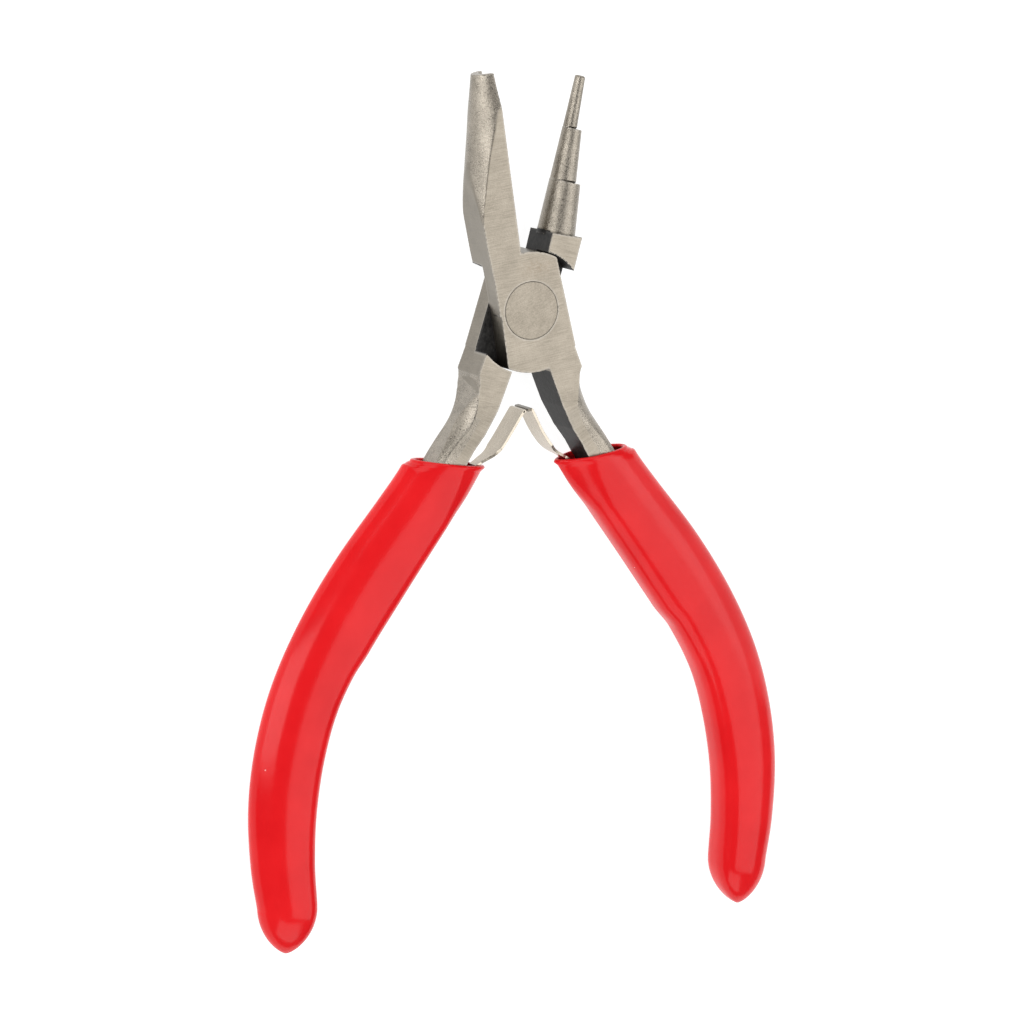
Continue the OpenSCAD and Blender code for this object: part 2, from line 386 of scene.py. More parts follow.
def gradient(field, p):
    """Unit outward directions of a field at points p."""
    g = np.empty_like(p)
    for k in range(3):
        d = np.zeros(3)
        d[k] = GRADIENT_STEP
        g[:, k] = field(*(p + d).T) - field(*(p - d).T)
    return g / np.maximum(np.linalg.norm(g, axis=1), TINY)[:, None]


def mesh_field(field, axes):
    """Dual contouring: one vertex per cell that the surface crosses, placed on its edges."""
    grid = field(axes[0][:, None, None], axes[1][None, :, None], axes[2][None, None, :])
    inside = grid < 0
    shape = np.array(grid.shape)
    cells, quads, points, outward = [], [], [], []
    for axis in range(3):
        low = tuple(slice(None, -1) if k == axis else slice(None) for k in range(3))
        high = tuple(slice(1, None) if k == axis else slice(None) for k in range(3))
        at = np.argwhere(inside[low] != inside[high])
        others = [k for k in range(3) if k != axis]
        at = at[np.all((at[:, others] > 0) & (at[:, others] < shape[others] - 1), axis=1)]
        end = at.copy()
        end[:, axis] += 1
        a = np.stack([axes[k][at[:, k]] for k in range(3)], 1)
        b = np.stack([axes[k][end[:, k]] for k in range(3)], 1)
        fa, fb = grid[tuple(at.T)], grid[tuple(end.T)]
        leaving = fa < 0
        for _ in range(CROSSING_STEPS):
            t = np.clip(fa / (fa - fb), CROSSING_MARGIN, 1 - CROSSING_MARGIN)[:, None]
            p = a + (b - a) * t
            f = field(*p.T)
            same = (f < 0) == (fa < 0)
            a, fa = np.where(same[:, None], p, a), np.where(same, f, fa)
            b, fb = np.where(same[:, None], b, p), np.where(same, fb, f)
        points.append(a + (b - a) * (fa / (fa - fb))[:, None])
        outward.append(gradient(field, points[-1]))
        j, k = (axis + 1) % 3, (axis + 2) % 3
        ring = []
        for dj, dk in ((-1, -1), (0, -1), (0, 0), (-1, 0)):
            cell = at.copy()
            cell[:, j] += dj
            cell[:, k] += dk
            ring.append(cell @ [shape[1] * shape[2], shape[2], 1])
        ring = np.stack(ring, 1)
        cells.append(ring)
        quads.append(np.where(leaving[:, None], ring, ring[:, ::-1]))
    cells, quads = np.concatenate(cells), np.concatenate(quads)
    p, n = np.concatenate(points), np.concatenate(outward)
    ids, which = np.unique(cells, return_inverse=True)
    which = which.reshape(cells.shape)
    count = len(ids)

    def total(value):
        return sum(np.bincount(which[:, c], value, count) for c in range(4))

    number = total(np.ones(len(p)))
    mean = np.stack([total(p[:, k]) for k in range(3)], 1) / number[:, None]
    a = np.empty((count, 3, 3))
    for i in range(3):
        for j in range(i, 3):
            a[:, i, j] = a[:, j, i] = total(n[:, i] * n[:, j])
    along = (n * p).sum(1)
    b = np.stack([total(n[:, k] * along) for k in range(3)], 1)
    value, vector = np.linalg.eigh(a)
    kept = value > FLATNESS * value[:, -1:]
    inverse = np.where(kept, 1 / np.where(kept, value, 1), 0)
    rest = b - np.einsum("nij,nj->ni", a, mean)
    move = np.einsum("nij,nj->ni", vector, inverse * np.einsum("nji,nj->ni", vector, rest))
    corner = np.stack(np.unravel_index(ids, shape), 1)
    lowest = np.stack([axes[k][corner[:, k]] for k in range(3)], 1)
    above = np.minimum(corner + 1, shape - 1)
    highest = np.stack([axes[k][above[:, k]] for k in range(3)], 1)
    slack = CELL_SLACK * (highest - lowest)
    vertices = np.clip(mean + move, lowest - slack, highest + slack)
    return vertices, np.searchsorted(ids, quads)


def stretched(low, high, step, far_low=None, far_high=None):
    """Grid lines that are close together from low to high and further apart beyond."""
    far_step = 1.0
    lines = list(np.arange(low, high + step / 2, step))
    gap = step
    while far_high is not None and lines[-1] < far_high:
        gap = min(gap * GRID_GROWTH, far_step)
        lines.append(lines[-1] + gap)
    gap = step
    while far_low is not None and lines[0] > far_low:
        gap = min(gap * GRID_GROWTH, far_step)
        lines.insert(0, lines[0] - gap)
    return np.array(lines)


# ---------------------------------------------------------------- materials


def new_material(name):
    material = bpy.data.materials.new(name)
    material.use_nodes = True
    tree = material.node_tree
    shader = tree.nodes["Principled BSDF"]
    return material, tree, shader


class Nodes:
    """Short ways to add shader nodes to one tree."""

    def __init__(self, tree):
        self.tree = tree

    def node(self, kind, **values):
        n = self.tree.nodes.new(kind)
        for key, value in values.items():
            setattr(n, key, value)
        return n

    def put(self, socket, value):
        if isinstance(value, bpy.types.NodeSocket):
            self.tree.links.new(value, socket)
        else:
            socket.default_value = value

    def attribute(self, name):
        return self.node("ShaderNodeAttribute", attribute_name=name)

    def scaled(self, vector, scale):
        n = self.node("ShaderNodeVectorMath", operation="MULTIPLY")
        self.put(n.inputs[0], vector)
        n.inputs[1].default_value = scale
        return n.outputs[0]

    def noise(self, vector, scale, detail, rough):
        n = self.node("ShaderNodeTexNoise")
        self.put(n.inputs["Vector"], vector)
        for key, value in (("Scale", scale), ("Detail", detail), ("Roughness", rough)):
            n.inputs[key].default_value = value
        return n.outputs["Fac"]

    def ramp(self, value, low, high, out_low=0.0, out_high=1.0):
        n = self.node("ShaderNodeMapRange")
        self.put(n.inputs["Value"], value)
        for key, v in (("From Min", low), ("From Max", high), ("To Min", out_low),
                       ("To Max", out_high)):
            self.put(n.inputs[key], v)
        return n.outputs["Result"]

    def maths(self, operation, a, b=0.0):
        n = self.node("ShaderNodeMath", operation=operation)
        self.put(n.inputs[0], a)
        self.put(n.inputs[1], b)
        return n.outputs[0]

    def mix(self, factor, a, b):
        n = self.node("ShaderNodeMix", data_type="RGBA")
        self.put(n.inputs["Factor"], factor)
        self.put(n.inputs[6], a)
        self.put(n.inputs[7], b)
        return n.outputs[2]

    def bump(self, height, strength, distance, normal=None):
        n = self.node("ShaderNodeBump")
        self.put(n.inputs["Height"], height)
        n.inputs["Strength"].default_value = strength
        n.inputs["Distance"].default_value = distance
        if normal is not None:
            self.put(n.inputs["Normal"], normal)
        return n.outputs["Normal"]


def colour(r, g, b):
    return (r, g, b, 1.0)


# Near-black colour for painted shade in concave corners and on the right leaf's bent top.
PAINTED_SHADE_COLOUR = (0.02, 0.017, 0.014)
SMUDGE = (0.2, 0.15, 0.1)
BARE_EDGE = (0.7, 0.68, 0.65)
# How far painted shade, smudges and cloudy tone change the colour at most.
PAINTED_SHADE_SHARE, SMUDGE_SHARE, CLOUD_SHARE = 0.85, 0.7, 0.25
CLOUD_SCALE, SMUDGE_SCALE = 0.35, 2.5
ROUGHNESS_SPREAD = 0.07
MARK_DEPTH = 0.01
SCALE_SPECULAR = 0.15


def steel_material(name, base, dark, light, roughness, marks, grain, edge_mix=0.5, streaks=0.45,
                   metallic=1.0):
    """Steel with brush marks and speckles, laid out by the grain coordinates in mm.

    marks is how many marks a mm holds along, across and through the grain; grain is the
    speckles per mm and their depth in mm; streaks is the share of the marks in the tone.
    Edges take the light colour where the edge attribute is high, as much as its share says:
    real wear on the halves, and on the rivet a near-black colour, as painted shade of the gap
    round it. Concave corners and the right leaf's bent top are darkened where the
    painted-shade attribute is high: painted shade.
    """
    material, tree, shader = new_material(name)
    n = Nodes(tree)
    place = n.attribute("grain").outputs["Vector"]
    wear_and_gap_shade = n.attribute("wear_and_gap_shade").outputs["Fac"]
    lines = n.noise(n.scaled(place, marks), 1.0, 4, 0.6)
    specks = n.noise(place, grain[0], 3, 0.65)
    clouds = n.noise(place, CLOUD_SCALE, 3, 0.55)
    tone = n.maths("ADD", n.maths("MULTIPLY", lines, streaks),
                   n.maths("MULTIPLY", specks, 1 - streaks))
    tone = n.maths("ADD", n.maths("MULTIPLY", tone, 1 - CLOUD_SHARE),
                   n.maths("MULTIPLY", clouds, CLOUD_SHARE))
    body = n.mix(n.ramp(tone, 0.36, 0.64), colour(*dark), colour(*base))
    # Edges take the edge colour: real wear on the halves, painted shade of the gap on the rivet's
    # rim.
    body = n.mix(n.ramp(wear_and_gap_shade, 0.15, 0.8, 0.0, edge_mix), body, colour(*light))
    # Concave corners darkened towards a near-black colour: painted shade.
    painted_shade = n.attribute("painted_shade").outputs["Fac"]
    body = n.mix(n.ramp(painted_shade, 0.25, 0.8, 0.0, PAINTED_SHADE_SHARE), body, colour(*PAINTED_SHADE_COLOUR))
    smudge = n.maths("MULTIPLY", n.attribute("smudge").outputs["Fac"],
                     n.ramp(n.noise(place, SMUDGE_SCALE, 4, 0.7), 0.4, 0.7))
    body = n.mix(n.maths("MULTIPLY", smudge, SMUDGE_SHARE), body, colour(*SMUDGE))
    n.put(shader.inputs["Base Color"], body)
    shader.inputs["Metallic"].default_value = metallic
    shader.inputs["Specular IOR Level"].default_value = 0.5 if metallic else SCALE_SPECULAR
    both_marks = n.maths("ADD", n.maths("MULTIPLY", lines, 0.5), n.maths("MULTIPLY", specks, 0.5))
    n.put(shader.inputs["Roughness"],
          n.ramp(both_marks, 0.3, 0.7, roughness - ROUGHNESS_SPREAD, roughness + ROUGHNESS_SPREAD))
    bumped = n.bump(specks, 0.6, grain[1] * MM)
    bumped = n.bump(lines, 0.35, MARK_DEPTH * MM, bumped)
    n.put(shader.inputs["Normal"], bumped)
    return material


# Finishes: ground flats, ground sides, forged skin, and black scale in the hollows. The ground
# sides are coloured darker than the flats, partly as painted shade.
GROUND = steel_material(
    "steel_ground", base=(0.385, 0.342, 0.282), dark=(0.215, 0.19, 0.152), light=BARE_EDGE,
    roughness=0.38, marks=(8.5, 0.35, 8.5), grain=(5.5, 0.035), edge_mix=0.12, streaks=0.62)
# The ground sides: their own brush marks, in a darker colour that is partly painted shade.
SIDE = steel_material(
    "steel_side", base=(0.285, 0.256, 0.212), dark=(0.185, 0.166, 0.137), light=BARE_EDGE,
    roughness=0.36, marks=(7.0, 0.5, 0.5), grain=(4.0, 0.03), edge_mix=0.12)
CAST = steel_material(
    "steel_cast", base=(0.42, 0.378, 0.318), dark=(0.165, 0.148, 0.123), light=BARE_EDGE,
    roughness=0.29, marks=(3.0, 0.8, 0.8), grain=(6.5, 0.08), edge_mix=0.1, streaks=0.12)
BLACK = steel_material(
    "steel_black", base=(0.05, 0.048, 0.046), dark=(0.003, 0.003, 0.003), light=(0.3, 0.29, 0.28),
    roughness=0.45, marks=(1.2, 3.0, 3.0), grain=(1.6, 0.05), edge_mix=0.12, metallic=0.0)
STEELS = (GROUND, SIDE, CAST, BLACK)
# The rivet's edge is outlined by a near-black band on its rim: painted shade of the gap round it.
RIVET_STEEL = steel_material(
    "rivet_steel", base=(0.365, 0.324, 0.266), dark=(0.20, 0.176, 0.14),
    light=(0.03, 0.028, 0.025), roughness=0.38, marks=(5.0, 0.7, 5.0), grain=(4.5, 0.035),
    edge_mix=0.9)
SPRING = steel_material(
    "spring_steel", base=(0.60, 0.54, 0.45), dark=(0.42, 0.37, 0.30), light=(0.9, 0.88, 0.84),
    roughness=0.25, marks=(0.6, 6.0, 6.0), grain=(3.0, 0.012))

DUST_SPACING, DUST_SIZE = 0.16, 0.016
MOTTLE_SCALE, RIPPLE_SCALE, FINE_SCALE = 0.12, 0.25, 3.0
RIPPLE_DEPTH, FINE_DEPTH = 0.15, 0.01


def pvc_material():
    """Soft glossy red PVC: faint mottling, shallow ripples from dipping and a little dust; its
    inside is darker, as painted shade.
    """
    material, tree, shader = new_material("red_pvc")
    n = Nodes(tree)
    place = n.scaled(n.node("ShaderNodeNewGeometry").outputs["Position"], (1000, 1000, 1000))
    inside = n.attribute("inside").outputs["Fac"]
    mottle = n.noise(place, MOTTLE_SCALE, 3, 0.5)
    body = n.mix(n.ramp(mottle, 0.35, 0.65),
                 colour(0.66, 0.008, 0.011), colour(0.73, 0.012, 0.015))
    # Deeper inside the sleeve the red turns darker: painted shade.
    body = n.mix(n.ramp(inside, 0.0, 1.0, 0.0, 0.75), body, colour(0.12, 0.004, 0.005))
    cell = n.node("ShaderNodeTexVoronoi", feature="F1")
    n.put(cell.inputs["Vector"], place)
    cell.inputs["Scale"].default_value = DUST_SPACING
    dust = n.maths("LESS_THAN", cell.outputs["Distance"], DUST_SIZE)
    body = n.mix(n.maths("MULTIPLY", dust, 0.8), body, colour(0.9, 0.6, 0.6))
    n.put(shader.inputs["Base Color"], body)
    ripple = n.noise(place, RIPPLE_SCALE, 2, 0.4)
    fine = n.noise(place, FINE_SCALE, 3, 0.6)
    n.put(shader.inputs["Roughness"], n.ramp(fine, 0.3, 0.7, 0.14, 0.2))
    bumped = n.bump(ripple, 0.25, RIPPLE_DEPTH * MM)
    bumped = n.bump(fine, 0.25, FINE_DEPTH * MM, bumped)
    n.put(shader.inputs["Normal"], bumped)
    shader.inputs["Specular IOR Level"].default_value = 0.22
    return material


PVC = pvc_material()


# ---------------------------------------------------------------- mesh helpers


def make_object(name, vertices, faces, materials, smooth_below=None):
    """A mesh object from points in millimetres, with sharp edges above an angle if one is given."""
    mesh = bpy.data.meshes.new(name)
    faces = faces if isinstance(faces, list) else faces.tolist()
    mesh.from_pydata(np.asarray(vertices) * MM, [], faces)
    mesh.validate()
    for material in materials:
        mesh.materials.append(material)
    mesh.shade_smooth()
    if smooth_below is not None:
        mesh.set_sharp_from_angle(angle=math.radians(smooth_below))
    thing = bpy.data.objects.new(name, mesh)
    bpy.context.scene.collection.objects.link(thing)
    return thing


def point_values(thing, name, values, kind="FLOAT"):
    attribute = thing.data.attributes.new(name, kind, "POINT")
    key = "vector" if kind == "FLOAT_VECTOR" else "value"
    attribute.data.foreach_set(key, np.asarray(values, np.float32).ravel())


def face_middles(vertices, faces):
    q = vertices[faces]
    normal = np.cross(q[:, 2] - q[:, 0], q[:, 3] - q[:, 1])
    return q.mean(1), normal / np.maximum(np.linalg.norm(normal, axis=1), TINY)[:, None]


# The grid's step, its fine part round the head and the jaws, and how far its coarse part goes.
MESH_STEP, QUICK_STEP = 0.14, 0.26
FINE_X, FINE_Y = (-13, 17), (-26, 35.2)
COARSE_TO_X, COARSE_TO_Y = 42, -88.5
MESH_MARGIN = 0.33
SHARP_ABOVE = 32
# Where the finishes change: distances and heights in mm, a place along the shank, and how
# closely a face's normal has to follow an axis.
NEAR = 0.12
ON_PLANE = 0.03
HANDLE_Y = -9
HOLLOW_CAST_FROM = 12.0
STEPPED_CAST_MARGIN = 0.35
FINISH_EDGE_W = -0.6
FRONT_END = 1.7
FACES_UP, ALMOST_UP, LEANS_UP = 0.97, 0.92, 0.75
# Depth under the surface that marks an edge as worn, and reach outwards that marks a concave corner
# for painted shade.
WEAR_DEPTH = SHADE_REACH = 0.3
# The grain follows the jaw above this height and the shank below it.
GRAIN_Y, GRAIN_SHIFT = -13.5, 12
# A smudge on the front of the head, between the rivet and the jaws: its middle and its size.
SMUDGE_U, SMUDGE_V = 1.8, 6
SMUDGE_WIDE, SMUDGE_HIGH = 2.4, 1.3


def finishes(x, y, z, normal, turn, is_stepped):
    """Index of each face's finish in STEELS, from its middle and its normal."""
    u, v = turned(x, y, turn)
    s, w, _ = HANDLE(x, y)
    lean = turned(normal[:, 0], normal[:, 1], turn)[0]
    upright = np.abs(normal[:, 2])
    flat = (upright > ALMOST_UP) & ((z > HEAD_T - ON_PLANE) | (z < ON_PLANE))
    handle = (y < HANDLE_Y) & (np.hypot(x, y) > HEEL_R)
    growth = STEPPED_GROWTH if is_stepped else HOLLOW_GROWTH
    outline, skin = handle_parts(x, y, z, growth)
    depth = z if is_stepped else HEAD_T - z
    ground = (y > FACET_END + GROUND_RISE * depth) & (outline > skin - ON_PLANE)
    shank = (handle & (w > FINISH_EDGE_W) & ~ground
             & ((upright < FACES_UP) | (s > FRONT_END)))
    front = handle & (upright > FACES_UP) & ((s < FRONT_END) | (w < FINISH_EDGE_W))
    lap = (np.abs(z - MID_Z - LAP_GAP / 2) < NEAR) & (normal[:, 2] < -0.5)
    shoulder = (np.abs(heel(x, y) - SHOULDER_GAP) < NEAR) & (z < MID_Z + 0.1) & ~flat
    inner = handle & (upright < LEANS_UP) & (w < FINISH_EDGE_W) & (normal[:, 0] < 0)
    finish = np.full(len(x), ON_SIDE)
    jaw_low = BLOCK_Y + STEPPED_CAST_MARGIN if is_stepped else HOLLOW_CAST_FROM
    finish[(v > jaw_low) & (y > 0)] = ON_CAST
    if not is_stepped:
        finish[(lean < -FACES_UP) & (upright < 0.2) & (u < -HEAD_SIDE)] = ON_SIDE
    finish[shank] = ON_CAST
    finish[flat | front] = ON_FLAT
    finish[lap | shoulder | inner] = ON_BLACK
    if is_stepped:
        # The block's face towards the other jaw.
        finish[(lean > 0.7) & (v > 5) & (v < BLOCK_Y + 0.2)] = ON_BLACK
    return finish


def build_half(name, field, turn, is_stepped):
    """Meshes one half in the frame where its plate is in front, then turns it over if needed."""
    step = MESH_STEP
    axes = (stretched(*FINE_X, step, far_high=COARSE_TO_X),
            stretched(*FINE_Y, step, far_low=COARSE_TO_Y),
            stretched(-MESH_MARGIN, HEAD_T + MESH_MARGIN, step))
    vertices, faces = mesh_field(field, axes)
    middle, normal = face_middles(vertices, faces)
    finish = finishes(*middle.T, normal, turn, is_stepped)
    out = gradient(field, vertices)
    below_skin = field(*(vertices - WEAR_DEPTH * out).T) + WEAR_DEPTH
    wear_and_gap_shade = np.clip(below_skin / (0.5 * WEAR_DEPTH), 0, 1)
    # Painted shade: darker where other surface lies close outside, as in concave corners.
    painted_shade = np.clip(1 - field(*(vertices + SHADE_REACH * out).T) / SHADE_REACH, 0, 1)
    _, w, run = HANDLE(*vertices[:, :2].T)
    u, v = turned(*vertices[:, :2].T, turn)
    smudge = np.exp(-((u - SMUDGE_U) / SMUDGE_WIDE) ** 2 - ((v - SMUDGE_V) / SMUDGE_HIGH) ** 2)
    smudge = smudge * (vertices[:, 2] > MID_Z)
    grain = np.stack([v, u, vertices[:, 2]], 1)
    below = vertices[:, 1] < GRAIN_Y
    grain[below] = np.stack([-run - GRAIN_SHIFT, w, vertices[:, 2]], 1)[below]
    if is_stepped:
        vertices = vertices * (-1, 1, -1) + (0, 0, HEAD_T)
    thing = make_object(name, vertices, faces, STEELS, SHARP_ABOVE)
    for key, values in (("wear_and_gap_shade", wear_and_gap_shade), ("painted_shade", painted_shade), ("smudge", smudge)):
        point_values(thing, key, values)
    point_values(thing, "grain", grain, "FLOAT_VECTOR")
    thing.data.polygons.foreach_set("material_index", finish.astype(np.int32))
    return thing


def hollow_field(x, y, z):
    return half_field(x, y, z, hollow_jaw, HOLLOW_TURN, flare_top=4.8, flare_low=6.5,
                      growth=HOLLOW_GROWTH)


def stepped_field(x, y, z):
    return half_field(x, y, z, stepped_jaw, STEPPED_TURN, flare_top=4.6, flare_low=5.6,
                      growth=STEPPED_GROWTH)


hollow = build_half("hollow_half_forging", hollow_field, HOLLOW_TURN, False)
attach(hollow, "hollow_half")
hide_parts("hollow_jaw_half")
stepped = build_half("stepped_half_forging", stepped_field, STEPPED_TURN, True)
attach(stepped, "stepped_half")
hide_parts("stepped_jaw_half")


# ---------------------------------------------------------------- rivet, sleeves and spring


def lofted(rings):
    """Points and quads through rings of equal length, with a fan of triangles at each end."""
    rings = [np.asarray(r, float) for r in rings]
    n, points = len(rings[0]), np.concatenate(rings)
    faces = [(a + k, a + (k + 1) % n, a + n + (k + 1) % n, a + n + k)
             for a in range(0, n * (len(rings) - 1), n) for k in range(n)]
    for start, flip in ((0, True), (n * (len(rings) - 1), False)):
        hub = len(points)
        points = np.vstack([points, points[start:start + n].mean(0)])
        faces += [(hub, start + (k + 1) % n, start + k) if flip
                  else (hub, start + k, start + (k + 1) % n) for k in range(n)]
    return points, faces


def mirrored(points, faces):
    return points * (-1, 1, 1), [tuple(reversed(f)) for f in faces]


RIVET_SIDES = 160
RIVET_CLEARANCE, RIVET_EDGE = 0.02, 0.06
# The band of painted shade on the rivet's rim, standing for the gap: width, fade and strength.
RIVET_RIM, RIVET_RIM_FADE, RIVET_RIM_SHADE = 0.12, 0.1, 0.6


def disc_ring(radius, z):
    f = np.arange(RIVET_SIDES) * 2 * math.pi / RIVET_SIDES
    return np.stack([radius * np.cos(f), radius * np.sin(f), np.full(RIVET_SIDES, z)], 1)


def build_rivet():
    """Flush rivet: its edges are rounded a little, so that its outline shows on the plates."""
    edge, body_r = RIVET_EDGE, RIVET_R - RIVET_CLEARANCE
    profile = [(r, 0.0) for r in (1.0, 2.0, 3.0, body_r - 0.25, body_r - edge)]
    profile += [(body_r - edge * (1 - math.sin(a)), edge * (1 - math.cos(a)))
                for a in np.radians([25, 50, 70, 90])]
    rings = [disc_ring(r, z) for r, z in profile]
    rings += [disc_ring(r, HEAD_T - z) for r, z in reversed(profile)]
    points, faces = lofted(rings)
    thing = make_object("pivot_rivet_ground", points, faces, [RIVET_STEEL], 60)
    u, v = turned(points[:, 0], points[:, 1], RIVET_GRAIN_TURN)
    point_values(thing, "grain", np.stack([v, u, points[:, 2]], 1), "FLOAT_VECTOR")
    # Painted shade of the gap: the rim is darkened through the edge attribute.
    rim_shade = np.clip((np.hypot(u, v) - body_r + RIVET_RIM) / RIVET_RIM_FADE, 0, 1)
    point_values(thing, "wear_and_gap_shade", rim_shade * RIVET_RIM_SHADE)
    return thing


SIDES = 96
TURN = np.arange(SIDES) * -2 * math.pi / SIDES
COS, SIN = np.cos(TURN), np.sin(TURN)

# The sleeve's section: where it changes from round to boxy, and how boxy it gets.
CREST = -0.15
BOX_AT_MOUTH, BOX_MORE, BOX_OVER = 1.45, 1.5, 1.6
# The step in the inner side: place and depth for the right and the left sleeve, and lengths.
DENT_RIGHT, DENT_LEFT = (3.55, 0.085), (3.9, 0.06)
DENT_EASE, DENT_FADE = 0.5, 2.6
# The bore: its gap round the tang, and where it widens into the mouth's pocket.
BORE_GAP = 0.04
BORE_FROM, POCKET_TO = 4.0, 1.9
CAP_POWER = 0.7


def ring_at(centre, out, wide, high, w_shape, h_shape):
    """Ring across a handle: out is the unit vector that points outwards in the XY plane."""
    w, h = wide * w_shape, high * h_shape
    return np.stack([centre[0] + w * out[0], centre[1] + w * out[1], MID_Z + h], 1)


def outward(angle):
    return np.array([math.cos(angle), math.sin(angle)])


def sleeve_angle(s):
    """Direction across the sleeve at place s: square to its line, but set at the mouth."""
    a = across(SLEEVE_LINE, [s])[0]
    own, mouth = math.atan2(a[1], a[0]), math.radians(MOUTH_ANGLE)
    return mouth + (own - mouth) * float(ease(s))


def tang_ring(s, skin):
    """The D shape of the tang at place s of the shank, as a ring of SIDES points."""
    half = float(on_curve(SHANK_HALF, s)[0]) + skin
    high = float(tang_half(s)) + skin
    r = min(high, 2 * half - 0.6)
    flat = half - r
    with np.errstate(divide="ignore", invalid="ignore"):
        inner = np.where(COS < -1e-9, -half / COS, np.inf)
        top = high / np.maximum(np.abs(SIN), 1e-9)
    bow = flat * COS + np.sqrt(np.maximum(r * r - (flat * SIN) ** 2, 0))
    reach = np.minimum(inner, np.where(top * COS < flat, top, bow))
    centre = on_curve(SHANK_LINE, s)[0]
    return ring_at(centre, across(SHANK_LINE, [s])[0], 1, 1, reach * COS, reach * SIN)


def inner_dent(s, side):
    """The inner side of each sleeve steps in a little where the handle bends most."""
    start, depth = DENT_RIGHT if side > 0 else DENT_LEFT
    fading = ease((s - start - DENT_EASE) / DENT_FADE)
    return depth * float(ease((s - start) / DENT_EASE) * (1 - fading))


def sleeve_section(s, side):
    """Shape across the sleeve: half round outside, boxier inside, pointed there at the mouth."""
    power = BOX_AT_MOUTH + BOX_MORE * float(ease(s / BOX_OVER))
    box = np.abs(COS) ** (2 / power), np.sign(SIN) * np.abs(SIN) ** (2 / power)
    inner = 1 + CREST - inner_dent(s, side)
    w = np.where(COS > 0, CREST + (1 - CREST) * COS, CREST - inner * box[0])
    return w, np.where(COS > 0, SIN, box[1])


def build_sleeve(name, side):
    """Dipped sleeve: thin rounded lip, flared pocket, tight bore round the tang, domed end."""
    last, bore_end = len(SLEEVE_LINE) - 1, len(SHANK_LINE) - 1
    high = SLEEVE_T / 2
    lip = SLEEVE_WALL / 2
    rings, depth = [], []

    def outer(s, inset=0.0, back=0.0):
        """The outside's ring at place s, drawn in by inset and moved towards the end by back."""
        angle = sleeve_angle(s)
        along = np.array([math.sin(angle), -math.cos(angle)])
        centre = on_curve(SLEEVE_LINE, s)[0] + back * along
        wide = float(on_curve(SLEEVE_HALF, s)[0]) - inset
        return ring_at(centre, outward(angle), wide, high - inset, *sleeve_section(s, side))

    # From the end of the bore up to the lip, then down the outside to the closed end.
    for s in np.arange(bore_end, BORE_FROM, -0.25):
        rings.append(tang_ring(s, BORE_GAP))
        depth.append(1.0)
    for s in np.arange(POCKET_TO, 0.05, -0.1):
        t = float(ease(s / POCKET_TO))
        rings.append(outer(s, 2 * lip) * (1 - t) + tang_ring(3 + s / 2, BORE_GAP) * t)
        depth.append(min(1.0, s))
    for a in np.radians(np.arange(0, 181, 22.5)):
        rings.append(outer(0.0, lip * (1 + math.cos(a)), lip * (1 - math.sin(a))))
        depth.append(0.0)
    for s in np.concatenate([np.arange(0.15, last, 0.06), [last]]):
        rings.append(outer(s))
        depth.append(0.0)
    end = np.array(SLEEVE_LINE[-1])
    for c in np.sin(np.radians(np.arange(4, 90, 4))):
        scale = (1 - c * c) ** CAP_POWER
        rings.append(ring_at(end - (0, CAP_LEN * c), (1, 0), SLEEVE_HALF[-1] * scale,
                             high * scale, *sleeve_section(last, side)))
        depth.append(0.0)
    points, faces = lofted(rings)
    points[-1] = (end[0], end[1] - CAP_LEN, MID_Z)
    # Each ring's depth inside the sleeve sets its painted shade.
    inside = np.concatenate([np.repeat(depth, SIDES), [1.0, 0.0]])
    if side < 0:
        points, faces = mirrored(points, faces)
    thing = make_object(name, points, faces, [PVC])
    point_values(thing, "inside", inside)
    return thing


def build_leaf(name, side):
    """Leaf strip with chamfered long edges, bent where it leaves the handle and hooked on top."""
    shift = LEAF_SHIFT + side * LEAF_GAP / 2
    line = [(x + side * shift, y) for x, y in LEAF_LINE]
    line = (LEAF_HOOK if side > 0 else LEAF_CURL) + line[1:]
    places = np.linspace(0, len(line) - 1, LEAF_ROWS)
    middle = on_curve(line, places)
    out = across(line, places)
    rings = []
    for (cx, cy), normal in zip(middle, out):
        wide = np.interp(-cy, LEAF_TAPER_Y, LEAF_TAPER)
        ring = []
        for sz, sn in ((1, 1), (1, -1), (-1, -1), (-1, 1)):
            turns = ((0, 1), (1, 0)) if sz * sn > 0 else ((1, 0), (0, 1))
            for a, b in turns:
                off = sn * (LEAF_T / 2 - LEAF_EDGE * a)
                z = sz * (wide - LEAF_EDGE * b)
                ring.append((cx + off * normal[0], cy + off * normal[1], MID_Z + z))
        rings.append(ring)
    points, faces = lofted(rings)
    if side < 0:
        points, faces = mirrored(points, faces)
    thing = make_object(name, points, faces, [SPRING], 30)
    run = np.concatenate([np.repeat(places, len(rings[0])), [0, places[-1]]])
    grain = np.stack([run * LEAF_MM, points[:, 2], points[:, 0] * 0], 1)
    point_values(thing, "grain", grain, "FLOAT_VECTOR")
    # The bent top of the right leaf is painted darker: painted shade.
    point_values(thing, "painted_shade", LEAF_TOP_SHADE * (run < LEAF_TOP) if side > 0 else 0 * run)
    return thing


for piece, body, node in (
        (build_rivet(), "hollow_half", "pivot_rivet"),
        (build_sleeve("right_sleeve_dipped", 1), "hollow_half", "right_sleeve"),
        (build_sleeve("left_sleeve_dipped", -1), "stepped_half", "left_sleeve"),
        (build_leaf("right_leaf_strip", 1), "right_leaf", "right_spring_leaf"),
        (build_leaf("left_leaf_strip", -1), "left_leaf", "left_spring_leaf")):
    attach(piece, body)
    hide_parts(node)

# ---------------------------------------------------------------- floor, light and camera

FLOOR_HALF, FLOOR_BELOW = 6.0, 0.0002

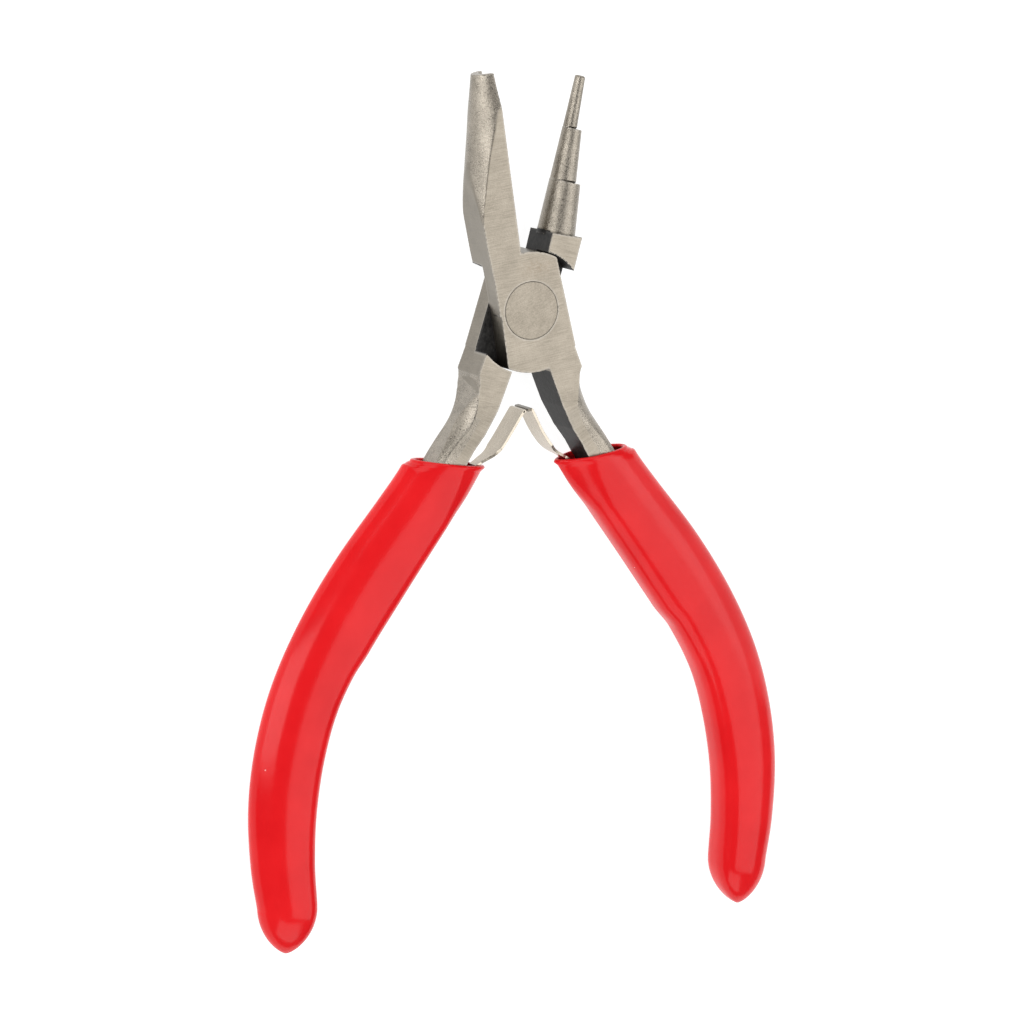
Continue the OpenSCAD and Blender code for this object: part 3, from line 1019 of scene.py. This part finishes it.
floor_mat, _, floor_shader = new_material("floor")
floor_shader.inputs["Base Color"].default_value = colour(0.25, 0.25, 0.25)
floor_shader.inputs["Roughness"].default_value = 0.9
floor_shader.inputs["Emission Color"].default_value = colour(1, 1, 1)
floor_shader.inputs["Emission Strength"].default_value = 0.92
floor_mesh = bpy.data.meshes.new("floor")
floor_mesh.from_pydata([(x * FLOOR_HALF, y * FLOOR_HALF, 0)
                        for x, y in ((-1, -1), (1, -1), (1, 1), (-1, 1))], [], [(0, 1, 2, 3)])
floor_mesh.materials.append(floor_mat)
floor = bpy.data.objects.new("floor", floor_mesh)
floor.location.z = -FLOOR_BELOW
bpy.context.scene.collection.objects.link(floor)

world = bpy.data.worlds.new("studio")
bpy.context.scene.world = world
world.use_nodes = True
background = world.node_tree.nodes["Background"]
background.inputs["Color"].default_value = colour(1, 1, 1)
background.inputs["Strength"].default_value = 0.12


def softbox(name, direction, distance, width, height, power):
    """Area light in metres and watts, in a direction from the pliers and facing them."""
    light = bpy.data.lights.new(name, "AREA")
    light.shape = "RECTANGLE"
    light.size, light.size_y, light.energy = width, height, power
    lamp = bpy.data.objects.new(name, light)
    d = Vector(direction).normalized()
    lamp.location = d * distance
    lamp.rotation_mode = "QUATERNION"
    lamp.rotation_quaternion = d.to_track_quat("Z", "Y")
    bpy.context.scene.collection.objects.link(lamp)


softbox("overhead", (0.62, -0.1, 1), 1.2, 1.2, 1.2, 8.7)
softbox("left", (-1, 0.2, 0.42), 1.1, 0.55, 1.7, 10.5)
softbox("right", (1, 0.05, 0.3), 1.1, 0.4, 1.4, 1.8)
softbox("jaw_side", (-0.1, 1, 0.7), 1.2, 1.2, 0.8, 5.5)
softbox("handle_side", (-0.1, -1, 0.7), 1.2, 1.2, 0.8, 5.5)

# The camera stands to the left of the rivet's axis and a little towards the jaws.
EYE = (-349.88, 105.77, 713.53)
EYE_TURNS = (-26.162, -9.720, 0.376)
camera = bpy.data.cameras.new("camera")
camera.sensor_width = 36
camera.lens = 195.4
camera.clip_start, camera.clip_end = 0.01, 20
eye = bpy.data.objects.new("camera", camera)
turn_y, turn_x, turn_z = (math.radians(a) for a in EYE_TURNS)
aim = (Matrix.Rotation(turn_y, 4, "Y") @ Matrix.Rotation(turn_x, 4, "X")
       @ Matrix.Rotation(turn_z, 4, "Z"))
eye.matrix_world = Matrix.Translation(Vector(EYE) * MM) @ aim
bpy.context.scene.collection.objects.link(eye)
bpy.context.scene.camera = eye
bpy.context.scene.view_settings.view_transform = "Standard"
